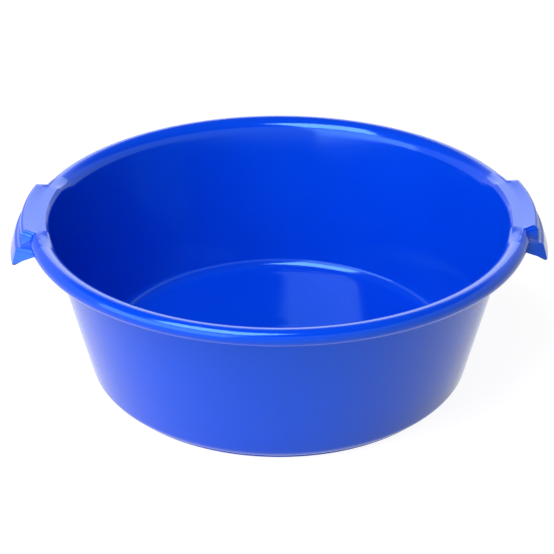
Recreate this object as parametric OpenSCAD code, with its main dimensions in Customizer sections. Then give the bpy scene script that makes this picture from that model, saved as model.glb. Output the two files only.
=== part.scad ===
// Round plastic washing up bowl with a rolled rim and a dished grip at each side.
// The origin is the centre of the base on the table, +Z is up and the grips lie on the X axis.

/* [Bowl] */
// Diameter across the rolled rim
rim_d = 376.6; // [372:0.2:380]
// Height of the rim's crown above the table
bowl_h = 130.4; // [126:0.2:135]
// Radius of the outer wall's line at table level, before the corner is rounded
base_r = 145.5; // [143:0.5:148]
// Lean of the wall from upright, in degrees
wall_lean = 12.74; // [12:0.02:13.4]
// Thickness of the moulding
wall_t = 2; // [1.6:0.1:2.3]

/* [Base] */
// Radius of the rounded corner between wall and underside
corner_r = 11; // [8:0.5:13]
// Radius of the fillet between wall and floor, inside
fillet_r = 11; // [8:0.5:12]
// Outer radius of the foot ring
foot_r = 140; // [136:0.5:141]
// Width of the foot ring
foot_w = 3; // [2.5:0.5:5]
// Height of the foot ring under the floor
foot_h = 1.9; // [1.5:0.1:2.4]
// Radius of the raised disc in the middle of the floor
disc_r = 47; // [40:1:55]
// Height of the raised disc above the floor
disc_h = 1; // [0.6:0.1:1.4]

/* [Rim] */
// Radius of the rim's outer bead
edge_r = 6; // [5.4:0.1:6.6]
// Angle that the bead curls in below its widest line
curl = 60; // [40:5:65]

/* [Handles] */
// Width across both handles
handle_span = 404.6; // [403:0.2:410]
// Angle of the creases at each handle's ends, from its middle
crease_angle = 19.5; // [19:0.5:22]
// Angle where the saddle's level top ends, from its middle
saddle_angle = 12.2; // [11:0.2:13]
// Rise of the saddle's outer edge above the rim's crown
saddle_rise = 2.9; // [1.8:0.1:3.4]
// Reach of the saddle past the rim's bead
saddle_reach = 5.2; // [4.4:0.1:5.6]
// Depth of the wing's top below the rim's crown
wing_drop = 9.1; // [8:0.1:10]
// Height of the wing's turned down lip
lip_h = 11.6; // [10:0.2:13]
// Radius where the wing turns down into its lip
lip_r = 3; // [2.6:0.1:3.6]

/* [Hidden] */
$fn = 96;
blue = "#0058f0";
light_blue = "#1f6cf5";

rim_r = rim_d / 2;
crown_r = rim_r - edge_r;
floor_z = foot_h + wall_t;
disc_z = floor_z + disc_h;
disc_slope = 1.5;

// The shoulder's arc ends level on the crown and runs straight on into the inner wall.
shoulder_r = (crown_r - inner_wall(bowl_h)) * cos(wall_lean) / (1 - sin(wall_lean));
shoulder_z = bowl_h - shoulder_r;
edge_z = bowl_h - edge_r;
skirt_z = edge_z - edge_r * sin(curl);
corner_z = foot_h + corner_r;
corner_x = outer_wall(corner_z) - corner_r / cos(wall_lean);
fillet_z = floor_z + fillet_r;
fillet_x = inner_wall(fillet_z) - fillet_r / cos(wall_lean);
// Angle on the rounded corner where the foot ring's outer face meets it
foot_angle = 270 + asin((foot_r - corner_x) / corner_r);

// The saddle has a bevel at the inner wall, a sharp inner edge and a raised outer edge.
// It is a little hollow between the two.
bevel_h = 2.2;
bevel_w = 2.4;
bevel_rise = 0.4;
bevel_x = inner_wall(bowl_h - bevel_h);
saddle_edge = [bevel_x + bevel_w, bowl_h + bevel_rise];
mid_rise = 1.1;
saddle_mid = [crown_r, bowl_h + mid_rise];
saddle_edge_r = 2.8;
saddle_r = rim_r + saddle_reach;
saddle_z = bowl_h + saddle_rise;
drop_lean = 5;
drop_fillet = 1;
wing_z = bowl_h - wing_drop;
saddle_arc = [saddle_r - saddle_edge_r, saddle_z - saddle_edge_r];
// Slope from the saddle's middle up to its raised outer edge
rise_span = saddle_arc - saddle_mid;
rise_slope = asin(saddle_edge_r / norm(rise_span)) + atan2(rise_span.y, rise_span.x);
drop_h = saddle_arc.y - wing_z - drop_fillet;
wing_x = saddle_arc.x + (saddle_edge_r + drop_fillet + drop_h * sin(drop_lean)) / cos(drop_lean);
handle_r = handle_span / 2;
lip_z = wing_z - lip_h;
// The wing is level for a short way, then turns down into a lip that leans out to its end.
wing_w = 0.8;
lip_arc = [wing_x + wing_w, wing_z - lip_r];
lip_end = [handle_r, lip_z];
lip_span = lip_end - lip_arc;
lip_lean = atan2(lip_span.y, lip_span.x) + acos(lip_r / norm(lip_span));

// The grip's end face leans out from its top edge to the lip, then runs out to the rim.
end_lean = 1.8;
rim_run = 4.5;
// Angle over which the end face falls from the saddle to the top of the ramp
end_face = 1.2;
// Angles that the end web's thickness and the draft of its inner face take up
web_angle = asin(wall_t / saddle_r);
draft_angle = web_angle / 4;
// Rise of the ramps' outer side over the bare rim, where they leave the saddle
ramp_rise = 2;
// The joint in the wall, level with the centre of the shoulder's arc
wall_inside = [inner_wall(shoulder_z), shoulder_z];
wall_outside = [outer_wall(shoulder_z), shoulder_z];
room_x = crown_r - shoulder_r / 2;
margin = 20;

function outer_wall(z) = base_r + z * tan(wall_lean);
function inner_wall(z) = outer_wall(z) - wall_t / cos(wall_lean);
function arc(c, r, a, b, n = 8) = [for (i = [0:n]) c + r * [cos(a + (b - a) * i / n), sin(a + (b - a) * i / n)]];
function reversed(p) = [for (i = [len(p) - 1:-1:0]) p[i]];
function left_of(a, b) = [a.y - b.y, b.x - a.x] / norm(b - a);
function normal_before(p, i) = left_of(p[max(i - 1, 0)], p[max(i, 1)]);
function normal_after(p, i) = left_of(p[min(i, len(p) - 2)], p[min(i + 1, len(p) - 1)]);
function tail(p) = [for (i = [1:len(p) - 1]) p[i]];
function path(a, b, n) = [for (i = [1:n]) a + (b - a) * i / n];
function mix(a, b, f) = [for (i = [0:len(a) - 1]) a[i] * (1 - f) + b[i] * f];
function mitre(a, b) = (a + b) / (1 + a * b);
// The path moved to its right by t, with mitred corners
function moved(p, t) = [for (i = [0:len(p) - 1]) p[i] - t * mitre(normal_before(p, i), normal_after(p, i))];

// The rim's bead from the crown round to its end, raised by rise at the crown
function bead(t, rise) = [for (i = [1:20])
    [crown_r, edge_z + rise * (1 - i / 20)]
        + (edge_r - t) * [sin((90 + curl) * i / 20), cos((90 + curl) * i / 20)]];

// Top of the rim from the inner wall over the crown and round the bead
function rim_top(t) = concat(
    arc([crown_r, shoulder_z], shoulder_r - t, 180 - wall_lean, 90),
    bead(t, 0)
);

// Section of the whole bowl: floor, inner wall and rim, then back along the underside
bowl_section = concat(
    [[0, disc_z], [disc_r - disc_slope, disc_z], [disc_r, floor_z]],
    arc([fillet_x, fillet_z], fillet_r, 270, 360 - wall_lean),
    rim_top(0),
    reversed(rim_top(wall_t)),
    arc([corner_x, corner_z], corner_r, 360 - wall_lean, foot_angle),
    [[foot_r, 0], [foot_r - foot_w, 0], [foot_r - foot_w, foot_h], [0, foot_h]]
);

// Every line below has 30 points, so that one can turn into the next along the handle:
// the joint, 9 up to the crown, then 20 out to the end of the bead or lip.
bare_top = concat([wall_inside], rim_top(0));
bare_under = concat([wall_outside], rim_top(wall_t));

function on_wall(z) = [inner_wall(z), z];
saddle_top = concat([wall_inside], path(wall_inside, on_wall(bowl_h - bevel_h), 3),
    [saddle_edge], path(saddle_edge, saddle_mid, 5));
grip_top = concat(
    saddle_top,
    arc(saddle_arc, saddle_edge_r, 90 + rise_slope, drop_lean, 6),
    arc([wing_x, wing_z + drop_fillet], drop_fillet, 180 + drop_lean, 270, 4),
    arc(lip_arc, lip_r, 90, lip_lean, 6),
    [lip_end]
);
grip_under = concat([wall_outside], tail(moved(grip_top, wall_t)));
saddle_under = [for (i = [0:9]) grip_under[i]];

// Under the end webs the line drops down inside the bead's widest line and runs out to the lip.
web_under = concat(
    saddle_under,
    tail(arc([crown_r, edge_z], edge_r - wall_t, 90, 0, 7)),
    path([rim_r - wall_t, edge_z], [rim_r - wall_t, skirt_z], 6),
    path([rim_r - wall_t, skirt_z], grip_under[29], 7)
);

// Top of the ramp where it leaves the saddle: the saddle inside, the raised bead outside
ramp_top = concat(saddle_top, bead(0, ramp_rise));
ramp_under = concat(saddle_under, [for (i = [10:29]) bare_under[i]]);

// Room that a handle takes out of the rim, above the joint in the wall
handle_room = [
    [bevel_x - margin, shoulder_z], [room_x, shoulder_z],
    [room_x, lip_z - margin], [handle_r + margin, lip_z - margin],
    [handle_r + margin, bowl_h + margin], [bevel_x - margin, bowl_h + margin]
];

module turned(section, a, b) {
    rotate([0, 0, a])
        rotate_extrude(angle = b - a)
            polygon(section);
}

// Radii outside which a section's points follow the grip's end face and the rim's outer part
lean_from = rim_r - wall_t - 0.1;
run_from = crown_r + 0.5;

// A closed section of the handle as [radius, height, angle]: the grip's outer part leans by lean
// over its height, and the rim's outer part by run over the bead's.
function ring(top, under, angle, lean, run) = [
    for (p = concat(top, reversed(under)))
        [p.x, p.y, angle
            + (p.x > lean_from ? lean * (saddle_z - p.y) / (saddle_z - lip_z) : 0)
            + (p.x > run_from ? run * max(0, bowl_h - p.y) / (bowl_h - skirt_z) : 0)]
];

// Sections of one half of the handle, from its middle to the crease
web_start = saddle_angle - web_angle;
ramp_start = saddle_angle + end_face;
ramp_angles = [for (i = [0:2]) ramp_start + (crease_angle - ramp_start) * i / 3];
half_rings = concat(
    [for (i = [1:5]) ring(grip_top, grip_under, web_start * i / 6, end_lean * i / 6, 0)],
    [ring(grip_top, grip_under, web_start - draft_angle, end_lean, 0),
     ring(grip_top, web_under, web_start, end_lean, 0),
     ring(grip_top, web_under, saddle_angle, end_lean, 0)],
    [for (i = [0:2])
        let (f = (ramp_angles[i] - saddle_angle) / (crease_angle - saddle_angle))
        ring(mix(ramp_top, bare_top, f), mix(ramp_under, bare_under, f), ramp_angles[i], 0,
             rim_run * (1 - f))],
    [ring(bare_top, bare_under, crease_angle, 0, 0)]
);
function other_side(r) = [for (p = r) [p.x, p.y, -p.z]];
rings = concat(
    [for (r = reversed(half_rings)) other_side(r)],
    [ring(grip_top, grip_under, 0, 0, 0)],
    half_rings
);

// One handle, on the +X side: the rings joined by triangles and closed at the creases
module handle() {
    n = len(rings[0]);
    last = len(rings) - 1;
    points = [for (r = rings, p = r) [p.x * cos(p.z), p.x * sin(p.z), p.y]];
    sides = [for (j = [0:last - 1], i = [0:n - 1])
        let (a = j * n + i, b = j * n + (i + 1) % n)
        each [[a, b, b + n], [a, b + n, a + n]]];
    ends = [for (i = [0:n / 2 - 2])
        let (a = i, b = i + 1, c = n - 2 - i, d = n - 1 - i, k = last * n)
        each [[a, c, b], [a, d, c], [k + a, k + b, k + c], [k + a, k + c, k + d]]];
    polyhedron(points, concat(sides, ends));
}

module bowl() {
    color(blue)
        difference() {
            rotate_extrude()
                polygon(bowl_section);
            for (side = [0, 180])
                rotate([0, 0, side])
                    turned(handle_room, -crease_angle, crease_angle);
        }
}

module left_handle() {
    color(light_blue)
        mirror([1, 0, 0])
            handle();
}

module right_handle() {
    color(light_blue)
        handle();
}

bowl();
left_handle();
right_handle();
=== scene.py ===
"""Look, light and camera for a round plastic washing up bowl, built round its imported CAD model.

The bowl's shell and its two grips replace the CAD nodes of the same places. Angles are in degrees.
Sections are in millimetres, as in the CAD source, and become metres where meshes are made.
"""

import math

import bmesh
import bpy
from mathutils import Matrix, Vector


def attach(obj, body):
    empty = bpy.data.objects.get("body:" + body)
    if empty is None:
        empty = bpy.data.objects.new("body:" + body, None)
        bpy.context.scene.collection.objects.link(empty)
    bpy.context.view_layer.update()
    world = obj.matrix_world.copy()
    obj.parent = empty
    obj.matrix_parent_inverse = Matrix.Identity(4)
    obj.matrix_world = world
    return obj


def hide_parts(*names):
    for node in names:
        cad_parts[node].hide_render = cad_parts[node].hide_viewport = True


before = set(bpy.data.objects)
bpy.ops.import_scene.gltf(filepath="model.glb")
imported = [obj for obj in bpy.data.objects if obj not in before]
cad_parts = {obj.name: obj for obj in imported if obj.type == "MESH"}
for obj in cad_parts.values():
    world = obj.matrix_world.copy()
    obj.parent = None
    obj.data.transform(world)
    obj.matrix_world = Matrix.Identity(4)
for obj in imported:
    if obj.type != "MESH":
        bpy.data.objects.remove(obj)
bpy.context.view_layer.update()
scene = bpy.context.scene

MM = 0.001

# Sizes of the bowl, by the names that the CAD source gives them

RIM_R = 188.3
BOWL_H = 130.4
BASE_R = 145.5
WALL_LEAN = 12.74
WALL_T = 2.0
CORNER_R = 11.0
FILLET_R = 11.0
FOOT_R = 140.0
FOOT_W = 3.0
FOOT_H = 1.9
DISC_R = 47.0
DISC_H = 1.0
DISC_SLOPE = 1.5
EDGE_R = 6.0
CURL = 60.0

LEAN = math.radians(WALL_LEAN)


def outer_wall(z):
    """Radius of the wall's outer face at a height."""
    return BASE_R + z * math.tan(LEAN)


def inner_wall(z):
    """Radius of the wall's inner face at a height."""
    return outer_wall(z) - WALL_T / math.cos(LEAN)


# The shoulder's arc ends level on the crown and runs straight on into the inner wall.

CROWN_R = RIM_R - EDGE_R
FLOOR_Z = FOOT_H + WALL_T
DISC_Z = FLOOR_Z + DISC_H
SHOULDER_R = (CROWN_R - inner_wall(BOWL_H)) * math.cos(LEAN) / (1 - math.sin(LEAN))
SHOULDER_Z = BOWL_H - SHOULDER_R
EDGE_Z = BOWL_H - EDGE_R
BEAD_END_Z = EDGE_Z - EDGE_R * math.sin(math.radians(CURL))
CORNER_Z = FOOT_H + CORNER_R
CORNER_X = outer_wall(CORNER_Z) - CORNER_R / math.cos(LEAN)
FOOT_ANGLE = 270 + math.degrees(math.asin((FOOT_R - CORNER_X) / CORNER_R))
FOOT_INSIDE_R = FOOT_R - FOOT_W
FILLET_Z = FLOOR_Z + FILLET_R
FILLET_X = inner_wall(FILLET_Z) - FILLET_R / math.cos(LEAN)

# The joint in the wall under a grip, level with the centre of the shoulder's arc

WALL_INSIDE = Vector((inner_wall(SHOULDER_Z), SHOULDER_Z))
WALL_OUTSIDE = Vector((outer_wall(SHOULDER_Z), SHOULDER_Z))

# Sizes of the grips. CREASE and SADDLE count round the bowl from a grip's middle. The saddle rises
# 0.02 mm less than the CAD's, so that nothing stands out of the CAD's box.

HANDLE_R = 202.3
CREASE = 19.5
SADDLE = 12.2
SADDLE_RISE = 2.88
SADDLE_REACH = 5.2
MID_RISE = 1.1
BEVEL_H = 2.2
BEVEL_W = 2.4
BEVEL_RISE = 0.4
SADDLE_EDGE_R = 2.8
DROP_LEAN = 5.0
DROP_FILLET = 1.0
WING_DROP = 9.1
WING_W = 0.8
LIP_H = 11.6
LIP_R = 3.0

BEVEL_X = inner_wall(BOWL_H - BEVEL_H)
BEVEL = Vector((BEVEL_X, BOWL_H - BEVEL_H))
SADDLE_EDGE = Vector((BEVEL_X + BEVEL_W, BOWL_H + BEVEL_RISE))
SADDLE_MID = Vector((CROWN_R, BOWL_H + MID_RISE))
SADDLE_R = RIM_R + SADDLE_REACH
SADDLE_TOP_Z = BOWL_H + SADDLE_RISE
SADDLE_ARC = Vector((SADDLE_R - SADDLE_EDGE_R, SADDLE_TOP_Z - SADDLE_EDGE_R))
WING_Z = BOWL_H - WING_DROP
LIP_Z = WING_Z - LIP_H
LIP_END = Vector((HANDLE_R, LIP_Z))

# Along a grip: the lean of its end face, the run of the rim beside it, the angle over which the
# end face falls to the ramp, the ramp's rise over the bare rim, and the draft of the end web's
# inner face as a share of the web. Points outside LEAN_FROM follow the lean, and points outside
# RUN_FROM the run.

END_LEAN = 1.8
RIM_RUN = 4.5
END_FACE = 1.2
RAMP_RISE = 2.0
WEB_DRAFT = 0.25
LEAN_FROM = RIM_R - WALL_T - 0.1
RUN_FROM = CROWN_R + 0.5

# Roundings and softened edges, which the CAD leaves sharp

DISC_ROUNDING = 0.8
END_ROUNDING = 0.5
FOOT_ROUNDING = 0.4
ROUNDING_STEPS = 4
SOFT_EDGE = 0.5
SOFT_FROM = 38
SOFT_SEGMENTS = 3
SHARP_FROM = 34

# Where the bowl's section has points on its flat and straight parts, and the steps of its arcs

DISC_RADII = (0, 15, 30, 38)
FLOOR_RADII = (55, 80, 105, 125)
UNDERSIDE_RADII = (129, 105, 80, 40, 0)
INSIDE_HEIGHTS = (20, 35, 50, 65, 80, 95, 108)
OUTSIDE_HEIGHTS = (108, 95, 80, 65, 50, 35, 22)
FILLET_STEPS = 20
CORNER_STEPS = 16
SHOULDER_STEPS = 20
SHOULDER_UNDER_STEPS = 12
BEAD_STEPS = 20

STATIONS = 720
STEP = 360 / STATIONS

# Points of a line that are nearer than this are one point

SAME_POINT = 1e-6

# Steps of the grips' lines, each cut into FINE. Up to the crown a line has a straight piece and
# the bare rim's bend, or the bevel, the piece above it and the saddle. From there it has
# BEAD_STEPS: the bead, or the wing's three arcs with a straight piece before each and one at the
# end, or the three parts under the end web.

FINE = 2
BEVEL_STEPS, SADDLE_STEPS = 3, 5
BEND_STEPS = BEVEL_STEPS + SADDLE_STEPS
EDGE_STEPS, DROP_STEPS, LIP_STEPS = 6, 4, 6
WEB_STEPS = (7, 6, 7)
GRIP_STEPS = 10
RAMP_STEPS = 12

# The plastic. A noise is its scale and detail, and a bump is its noise, strength and distance.

BLUE = (0.0, 0.045, 0.59)
BLUE_DEEP = (0.0, 0.041, 0.55)
TINT_NOISE = (9, 4)
TINT_RANGE = (0.3, 0.7)
GLOSS_NOISE = (60, 5)
ROUGHNESS = (0.09, 0.14)
WAVES = ((28, 3), 0.06, 0.0003)
GRAIN = ((1400, 2), 0.05, 0.00006)
SPECULAR_LEVEL = 0.7
SPECULAR_TINT = (0.28, 0.72, 1.0, 1.0)
IOR = 1.49

# The floor and the world. Camera, glossy and transmission rays find a white floor and a backdrop
# that turns dark overhead. The rest find a plain floor and a weak world.

FLOOR_REACH = 6
FLOOR_ALBEDO = 0.8
FLOOR_GLOW = 0.93
FLOOR_SEEN = 0.16
WORLD_LIGHT = 0.16
SKY_START, SKY_END = 0.56, 0.70
SKY_BRIGHT, SKY_DARK = 1.0, 0.12

# Lamps: name, azimuth, elevation, distance and size in metres, power in watts. Azimuth 0 is
# towards the viewer of the photo, + to the right, and all face a point above the bowl's floor.

LAMPS = (
    ("key", -40, 61, 1.6, (1.0, 0.95), 31),
    ("back", 179, 20, 2.2, (1.9, 0.9), 8.5),
    ("fill", -50, 20, 1.8, (2.0, 1.2), 23),
)
LAMP_AIM = Vector((0, 0, 0.08))

# The photo's camera, as fitted to its outlines: place, turns about X, Z and its own axis, and the
# focal length in pixels of a picture PICTURE_SIDE wide

CAMERA_PLACE = Vector((-0.023080, -1.017054, 0.619522))
CAMERA_TURNS = (61.66171, -1.20877, 0.01064)
CAMERA_CLIP = (0.05, 50)
FOCAL_PIXELS = 1492.547
PICTURE_SIDE = 554
SENSOR = 36


# Sections, as (radius, height)


def arc(centre, r, a, b, n):
    """Points on an arc from angle a to b, both ends included."""
    turns = [math.radians(a + (b - a) * i / n) for i in range(n + 1)]
    return [Vector((centre[0] + r * math.cos(t), centre[1] + r * math.sin(t))) for t in turns]


def split(points, n):
    """The same line with each of its pieces cut into n."""
    out = [points[0]]
    for a, b in zip(points, points[1:]):
        out += [a + (b - a) * (i / n) for i in range(1, n + 1)]
    return out


def joined(*lines):
    """One line from several, with points that coincide kept once."""
    out = []
    for line in lines:
        for p in line:
            p = Vector(p)
            if not out or (p - out[-1]).length > SAME_POINT:
                out.append(p)
    return out


def rounded(points, radii):
    """The line with its inner points rounded to the given radii."""
    points = [Vector(p) for p in points]
    out = [points[0]]
    for p, q, s, r in zip(points, points[1:], points[2:], radii):
        a, b = (p - q).normalized(), (s - q).normalized()
        half = a.angle(b) / 2
        centre = q + (a + b).normalized() * (r / math.sin(half))
        u = q + a * (r / math.tan(half)) - centre
        v = q + b * (r / math.tan(half)) - centre
        turn = u.angle_signed(v)
        for i in range(ROUNDING_STEPS + 1):
            out.append(centre + Matrix.Rotation(-turn * i / ROUNDING_STEPS, 2) @ u)
    out.append(points[-1])
    return out


def offset(line, t):
    """The line moved to its right by t, with mitred corners."""
    def left(a, b):
        d = (b - a).normalized()
        return Vector((-d.y, d.x))

    out = []
    for i, p in enumerate(line):
        before = left(line[max(i - 1, 0)], line[max(i, 1)])
        after = left(line[min(i, len(line) - 2)], line[min(i + 1, len(line) - 1)])
        out.append(p - t * (before + after) / (1 + before.dot(after)))
    return out


def mixed(a, b, f):
    """Lines between the lines of a and b, at share f of the way."""
    return [[p.lerp(q, f) for p, q in zip(x, y)] for x, y in zip(a, b)]


def shoulder(t, n):
    """The rim's inner bend at depth t, from the wall up to the crown."""
    return arc((CROWN_R, SHOULDER_Z), SHOULDER_R - t, 180 - WALL_LEAN, 90, n)


def bead(t, n, rise=0.0):
    """The rim's outer bead at depth t, from the crown round to its end, raised at the crown."""
    line = arc((CROWN_R, EDGE_Z), EDGE_R - t, 90, -CURL, n)
    return [p + Vector((0, rise * (1 - i / n))) for i, p in enumerate(line)]


# Objects


def added(name, data):
    """A new object in the scene."""
    obj = bpy.data.objects.new(name, data)
    scene.collection.objects.link(obj)
    return obj


def finished(bm, name):
    """The mesh as an object, with smooth shading and crisp edges."""
    bmesh.ops.recalc_face_normals(bm, faces=bm.faces)
    mesh = bpy.data.meshes.new(name)
    bm.to_mesh(mesh)
    bm.free()
    mesh.polygons.foreach_set("use_smooth", [True] * len(mesh.polygons))
    mesh.set_sharp_from_angle(angle=math.radians(SHARP_FROM))
    return added(name, mesh)


def softened(obj):
    """The object with its sharper edges rounded."""
    bevel = obj.modifiers.new("soft_edges", "BEVEL")
    bevel.limit_method = "ANGLE"
    bevel.angle_limit = math.radians(SOFT_FROM)
    bevel.width = SOFT_EDGE * MM
    bevel.segments = SOFT_SEGMENTS
    bevel.harden_normals = True
    return obj


# The bowl


def point(p, angle):
    """The point (radius, height) at an angle round the bowl, in metres."""
    a = math.radians(angle)
    return Vector((p[0] * math.cos(a), p[0] * math.sin(a), p[1])) * MM


def in_handle(i):
    """True if the slice from station i to the next one lies under a grip."""
    middle = (i + 0.5) * STEP
    return min(middle % 180, 180 - middle % 180) < CREASE


def bowl_lines():
    """The section in three lines: floor and inner wall, rim, outer wall and underside."""
    inside = joined(
        [(x, DISC_Z) for x in DISC_RADII],
        rounded(
            [(DISC_RADII[-1], DISC_Z), (DISC_R - DISC_SLOPE, DISC_Z),
             (DISC_R, FLOOR_Z), (FLOOR_RADII[0], FLOOR_Z)],
            [DISC_ROUNDING, DISC_ROUNDING],
        ),
        [(x, FLOOR_Z) for x in FLOOR_RADII],
        arc((FILLET_X, FILLET_Z), FILLET_R, 270, 360 - WALL_LEAN, FILLET_STEPS),
        [(inner_wall(z), z) for z in INSIDE_HEIGHTS],
        [WALL_INSIDE],
    )
    outer, inner = bead(0, BEAD_STEPS), bead(WALL_T, BEAD_STEPS)
    rim = joined(
        [WALL_INSIDE],
        shoulder(0, SHOULDER_STEPS),
        outer[:-1],
        rounded([outer[-2], outer[-1], inner[-1], inner[-2]], [END_ROUNDING, END_ROUNDING]),
        inner[-2::-1],
        shoulder(WALL_T, SHOULDER_UNDER_STEPS)[::-1],
        [WALL_OUTSIDE],
    )
    corner = arc((CORNER_X, CORNER_Z), CORNER_R, 360 - WALL_LEAN, FOOT_ANGLE, CORNER_STEPS)
    outside = joined(
        [WALL_OUTSIDE],
        [(outer_wall(z), z) for z in OUTSIDE_HEIGHTS],
        corner,
        rounded(
            [corner[-1], (FOOT_R, 0), (FOOT_INSIDE_R, 0),
             (FOOT_INSIDE_R, FOOT_H), (UNDERSIDE_RADII[0], FOOT_H)],
            [END_ROUNDING, END_ROUNDING, FOOT_ROUNDING],
        ),
        [(x, FOOT_H) for x in UNDERSIDE_RADII],
    )
    return inside, rim, outside


def bowl_mesh():
    """The bowl's shell. Under a grip the wall ends level at the joint and has no rim."""
    inside, rim, outside = bowl_lines()
    bm = bmesh.new()
    poles = [bm.verts.new(point(line, 0)) for line in (inside[0], outside[-1])]
    wall_in, wall_out = (
        [[bm.verts.new(point(p, i * STEP)) for p in line] for i in range(STATIONS)]
        for line in (inside[1:], outside[:-1])
    )
    rims = {}
    for i in range(STATIONS):
        if not (in_handle(i) and in_handle(i - 1)):
            column = [bm.verts.new(point(p, i * STEP)) for p in rim[1:-1]]
            rims[i] = [wall_in[i][-1], *column, wall_out[i][0]]
    for i in range(STATIONS):
        k = (i + 1) % STATIONS
        for columns in (wall_in, wall_out) if in_handle(i) else (wall_in, rims, wall_out):
            a, b = columns[i], columns[k]
            for j in range(len(a) - 1):
                bm.faces.new((a[j], b[j], b[j + 1], a[j + 1]))
        bm.faces.new((poles[0], wall_in[k][0], wall_in[i][0]))
        bm.faces.new((poles[1], wall_out[i][-1], wall_out[k][-1]))
        if in_handle(i):
            bm.faces.new((wall_in[i][-1], wall_in[k][-1], wall_out[k][0], wall_out[i][0]))
            if not in_handle(i - 1):
                bm.faces.new(reversed(rims[i]))
            if not in_handle(k):
                bm.faces.new(rims[k])
    return finished(bm, "bowl_shell")


# The grips


def grip_lines():
    """Pairs of lines, top and under, from the joint in the wall out to the end of bead or lip.

    All have the same number of points, so that one pair can turn into the next along the grip.
    """
    def bare_line(start, t):
        bend = shoulder(t, BEND_STEPS * FINE)
        return split([start, bend[0]], FINE)[:-1] + bend

    def fine_bead(t, rise=0.0):
        return bead(t, BEAD_STEPS * FINE, rise)[1:]

    saddle = split(
        split([WALL_INSIDE, BEVEL], BEVEL_STEPS) + split([SADDLE_EDGE, SADDLE_MID], SADDLE_STEPS),
        FINE,
    )
    rise_span = SADDLE_ARC - SADDLE_MID
    slope = math.degrees(
        math.asin(SADDLE_EDGE_R / rise_span.length) + math.atan2(rise_span.y, rise_span.x))
    drop = math.radians(DROP_LEAN)
    drop_h = SADDLE_ARC.y - WING_Z - DROP_FILLET
    wing_x = SADDLE_ARC.x + (
        SADDLE_EDGE_R + DROP_FILLET + drop_h * math.sin(drop)) / math.cos(drop)
    fillet_at = (wing_x, WING_Z + DROP_FILLET)
    lip_at = Vector((wing_x + WING_W, WING_Z - LIP_R))
    lip_span = LIP_END - lip_at
    lip_lean = math.degrees(
        math.atan2(lip_span.y, lip_span.x) + math.acos(LIP_R / lip_span.length))
    grip_top = list(saddle)
    for part in (
        arc(SADDLE_ARC, SADDLE_EDGE_R, 90 + slope, DROP_LEAN, EDGE_STEPS * FINE),
        arc(fillet_at, DROP_FILLET, 180 + DROP_LEAN, 270, DROP_STEPS * FINE),
        arc(lip_at, LIP_R, 90, lip_lean, LIP_STEPS * FINE),
        [LIP_END],
    ):
        grip_top += split([grip_top[-1], part[0]], FINE)[1:-1] + part

    grip_under = [WALL_OUTSIDE] + offset(grip_top, WALL_T)[1:]
    saddle_under = grip_under[:len(saddle)]
    web_r = RIM_R - WALL_T
    web_foot = Vector((web_r, BEAD_END_Z))
    bend_steps, side_steps, foot_steps = (n * FINE for n in WEB_STEPS)
    web_under = (
        saddle_under
        + arc((CROWN_R, EDGE_Z), EDGE_R - WALL_T, 90, 0, bend_steps)[1:]
        + split([Vector((web_r, EDGE_Z)), web_foot], side_steps)[1:]
        + split([web_foot, grip_under[-1]], foot_steps)[1:]
    )
    bare_top = bare_line(WALL_INSIDE, 0) + fine_bead(0)
    bare_under = bare_line(WALL_OUTSIDE, WALL_T) + fine_bead(WALL_T)
    return {
        "bare": (bare_top, bare_under),
        "grip": (grip_top, grip_under),
        "web": (grip_top, web_under),
        "ramp": (saddle + fine_bead(0, RAMP_RISE), saddle_under + fine_bead(WALL_T)),
    }


def ring(lines, angle, lean=0.0, run=0.0):
    """A closed section as (radius, height, angle).

    The grip's outer part turns by lean over its height, and the rim's by run over the bead's.
    """
    top, under = lines
    out = []
    for p in top + under[::-1]:
        turn = 0
        if p.x > LEAN_FROM:
            turn += lean * (SADDLE_TOP_Z - p.y) / (SADDLE_TOP_Z - LIP_Z)
        if p.x > RUN_FROM:
            turn += run * max(0, BOWL_H - p.y) / (BOWL_H - BEAD_END_Z)
        out.append((p.x, p.y, angle + turn))
    return out


def grip_rings():
    """The closed sections of a grip, from one crease to the other."""
    lines = grip_lines()
    web_angle = math.degrees(math.asin(WALL_T / SADDLE_R))
    web_start = SADDLE - web_angle
    half = []
    for i in range(1, GRIP_STEPS):
        share = i / GRIP_STEPS
        half.append(ring(lines["grip"], web_start * share, lean=END_LEAN * share))
    half.append(ring(lines["grip"], web_start - web_angle * WEB_DRAFT, lean=END_LEAN))
    half.append(ring(lines["web"], web_start, lean=END_LEAN))
    half.append(ring(lines["web"], SADDLE, lean=END_LEAN))
    ramp_start = SADDLE + END_FACE
    for i in range(RAMP_STEPS):
        angle = ramp_start + (CREASE - ramp_start) * i / RAMP_STEPS
        f = (angle - SADDLE) / (CREASE - SADDLE)
        half.append(ring(mixed(lines["ramp"], lines["bare"], f), angle, run=RIM_RUN * (1 - f)))
    half.append(ring(lines["bare"], CREASE))
    mirrored = [[(x, y, -a) for x, y, a in section] for section in reversed(half)]
    return mirrored + [ring(lines["grip"], 0)] + half


def grip_mesh(name, side):
    """A grip, on the +X side where side is 1 and on the -X side where it is -1."""
    bm = bmesh.new()
    columns = []
    for section in grip_rings():
        places = [point((x, z), angle) for x, z, angle in section]
        columns.append([bm.verts.new((side * p.x, p.y, p.z)) for p in places])
    n = len(columns[0])
    for a, b in zip(columns, columns[1:]):
        for j in range(n):
            k = (j + 1) % n
            bm.faces.new((a[j], a[k], b[k], b[j]))
    bm.faces.new(reversed(columns[0]))
    bm.faces.new(columns[-1])
    return softened(finished(bm, name))


# Material, floor, light and camera


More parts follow.
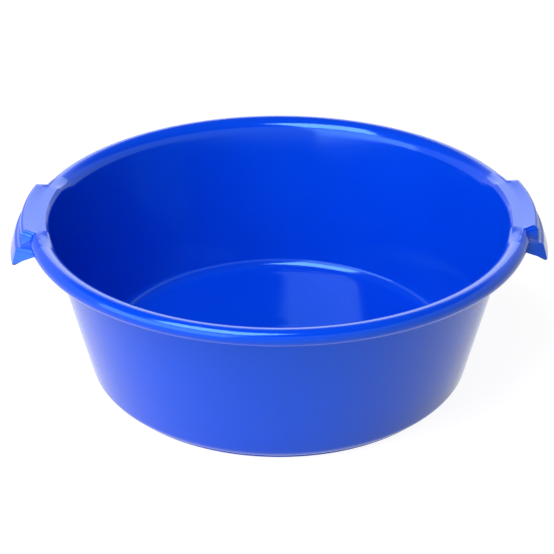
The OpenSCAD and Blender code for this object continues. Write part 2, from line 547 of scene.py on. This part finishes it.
def plastic(name):
    """Glossy moulded polypropylene, blue through and through, with faint waves and grain."""
    mat = bpy.data.materials.new(name)
    mat.use_nodes = True
    nodes, links = mat.node_tree.nodes, mat.node_tree.links
    shader = nodes["Principled BSDF"]
    coords = nodes.new("ShaderNodeTexCoord")

    def noise(scale, detail):
        node = nodes.new("ShaderNodeTexNoise")
        node.inputs["Scale"].default_value = scale
        node.inputs["Detail"].default_value = detail
        links.new(coords.outputs["Object"], node.inputs["Vector"])
        return node.outputs["Fac"]

    def ramp(source, low, high):
        node = nodes.new("ShaderNodeValToRGB")
        for element, place, colour in zip(node.color_ramp.elements, TINT_RANGE, (low, high)):
            element.position = place
            element.color = (*colour, 1)
        links.new(source, node.inputs["Fac"])
        return node.outputs["Color"]

    def spread(source, low, high):
        node = nodes.new("ShaderNodeMapRange")
        node.inputs["To Min"].default_value = low
        node.inputs["To Max"].default_value = high
        links.new(source, node.inputs["Value"])
        return node.outputs["Result"]

    def bump(height, strength, distance):
        node = nodes.new("ShaderNodeBump")
        node.inputs["Strength"].default_value = strength
        node.inputs["Distance"].default_value = distance
        links.new(noise(*height), node.inputs["Height"])
        return node

    links.new(ramp(noise(*TINT_NOISE), BLUE_DEEP, BLUE), shader.inputs["Base Color"])
    links.new(spread(noise(*GLOSS_NOISE), *ROUGHNESS), shader.inputs["Roughness"])
    waves, grain = bump(*WAVES), bump(*GRAIN)
    links.new(waves.outputs["Normal"], grain.inputs["Normal"])
    links.new(grain.outputs["Normal"], shader.inputs["Normal"])
    shader.inputs["Specular IOR Level"].default_value = SPECULAR_LEVEL
    shader.inputs["Specular Tint"].default_value = SPECULAR_TINT
    shader.inputs["IOR"].default_value = IOR
    return mat


def seen_ray(nodes, links):
    """1 for camera, glossy and transmission rays, 0 for the light that reaches surfaces."""
    path = nodes.new("ShaderNodeLightPath")
    total = path.outputs["Is Camera Ray"]
    for name in ("Is Glossy Ray", "Is Transmission Ray"):
        add = nodes.new("ShaderNodeMath")
        add.operation = "MAXIMUM"
        links.new(total, add.inputs[0])
        links.new(path.outputs[name], add.inputs[1])
        total = add.outputs[0]
    return total


def floor_plane():
    """The floor, which seen rays find white with the bowl's shadow on it."""
    bm = bmesh.new()
    bmesh.ops.create_grid(bm, x_segments=1, y_segments=1, size=FLOOR_REACH)
    mesh = bpy.data.meshes.new("floor")
    bm.to_mesh(mesh)
    bm.free()
    obj = added("floor", mesh)
    mat = bpy.data.materials.new("white_floor")
    mat.use_nodes = True
    nodes, links = mat.node_tree.nodes, mat.node_tree.links
    nodes.remove(nodes["Principled BSDF"])

    def grey(kind, level):
        node = nodes.new(kind)
        node.inputs["Color"].default_value = (level, level, level, 1)
        return node

    diffuse = grey("ShaderNodeBsdfDiffuse", FLOOR_ALBEDO)
    glow = grey("ShaderNodeEmission", 1)
    glow.inputs["Strength"].default_value = FLOOR_GLOW
    lit = grey("ShaderNodeBsdfDiffuse", FLOOR_SEEN)
    both = nodes.new("ShaderNodeAddShader")
    pick = nodes.new("ShaderNodeMixShader")
    links.new(glow.outputs[0], both.inputs[0])
    links.new(lit.outputs[0], both.inputs[1])
    links.new(seen_ray(nodes, links), pick.inputs[0])
    links.new(diffuse.outputs[0], pick.inputs[1])
    links.new(both.outputs[0], pick.inputs[2])
    links.new(pick.outputs[0], nodes["Material Output"].inputs["Surface"])
    mesh.materials.append(mat)


def white_world():
    """A world that seen rays find white at the horizon and dark overhead."""
    world = bpy.data.worlds.new("studio")
    scene.world = world
    world.use_nodes = True
    nodes, links = world.node_tree.nodes, world.node_tree.links
    background = nodes["Background"]
    background.inputs["Color"].default_value = (1, 1, 1, 1)
    coords = nodes.new("ShaderNodeTexCoord")
    direction = nodes.new("ShaderNodeSeparateXYZ")
    links.new(coords.outputs["Generated"], direction.inputs[0])
    backdrop = nodes.new("ShaderNodeMapRange")
    backdrop.interpolation_type = "SMOOTHSTEP"
    backdrop.inputs["From Min"].default_value = SKY_START
    backdrop.inputs["From Max"].default_value = SKY_END
    backdrop.inputs["To Min"].default_value = SKY_BRIGHT
    backdrop.inputs["To Max"].default_value = SKY_DARK
    links.new(direction.outputs["Z"], backdrop.inputs["Value"])
    strength = nodes.new("ShaderNodeMix")
    strength.inputs["A"].default_value = WORLD_LIGHT
    links.new(seen_ray(nodes, links), strength.inputs["Factor"])
    links.new(backdrop.outputs["Result"], strength.inputs["B"])
    links.new(strength.outputs["Result"], background.inputs["Strength"])


def softbox(name, azimuth, elevation, distance, size, power):
    """A rectangular lamp that faces the bowl."""
    a, e = math.radians(azimuth), math.radians(elevation)
    out = Vector((math.sin(a) * math.cos(e), -math.cos(a) * math.cos(e), math.sin(e)))
    lamp = bpy.data.lights.new(name, "AREA")
    lamp.shape = "RECTANGLE"
    lamp.size, lamp.size_y = size
    lamp.energy = power
    obj = added(name, lamp)
    obj.location = LAMP_AIM + out * distance
    obj.rotation_euler = (-out).to_track_quat("-Z", "Y").to_euler()


def camera():
    """The photo's camera."""
    data = bpy.data.cameras.new("camera")
    data.sensor_width = SENSOR
    data.lens = FOCAL_PIXELS / PICTURE_SIDE * SENSOR
    data.clip_start, data.clip_end = CAMERA_CLIP
    obj = added("camera", data)
    tilt, yaw, roll = (math.radians(x) for x in CAMERA_TURNS)
    obj.matrix_world = (
        Matrix.Translation(CAMERA_PLACE) @ Matrix.Rotation(yaw, 4, "Z")
        @ Matrix.Rotation(tilt, 4, "X") @ Matrix.Rotation(roll, 4, "Z")
    )
    scene.camera = obj


bowl = bowl_mesh()
left_grip = grip_mesh("left_grip", -1)
right_grip = grip_mesh("right_grip", 1)
bowl_plastic = plastic("blue_bowl_plastic")
grip_plastic = plastic("blue_grip_plastic")
for piece, node, slot, mat in (
    (bowl, "bowl", "bowl_plastic", bowl_plastic),
    (left_grip, "left_handle", "handle_plastic", grip_plastic),
    (right_grip, "right_handle", "handle_plastic", grip_plastic),
):
    piece.data.materials.append(mat)
    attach(piece, "root")
    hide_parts(node)

floor_plane()
white_world()
for lamp in LAMPS:
    softbox(*lamp)
camera()

scene.view_settings.view_transform = "Standard"
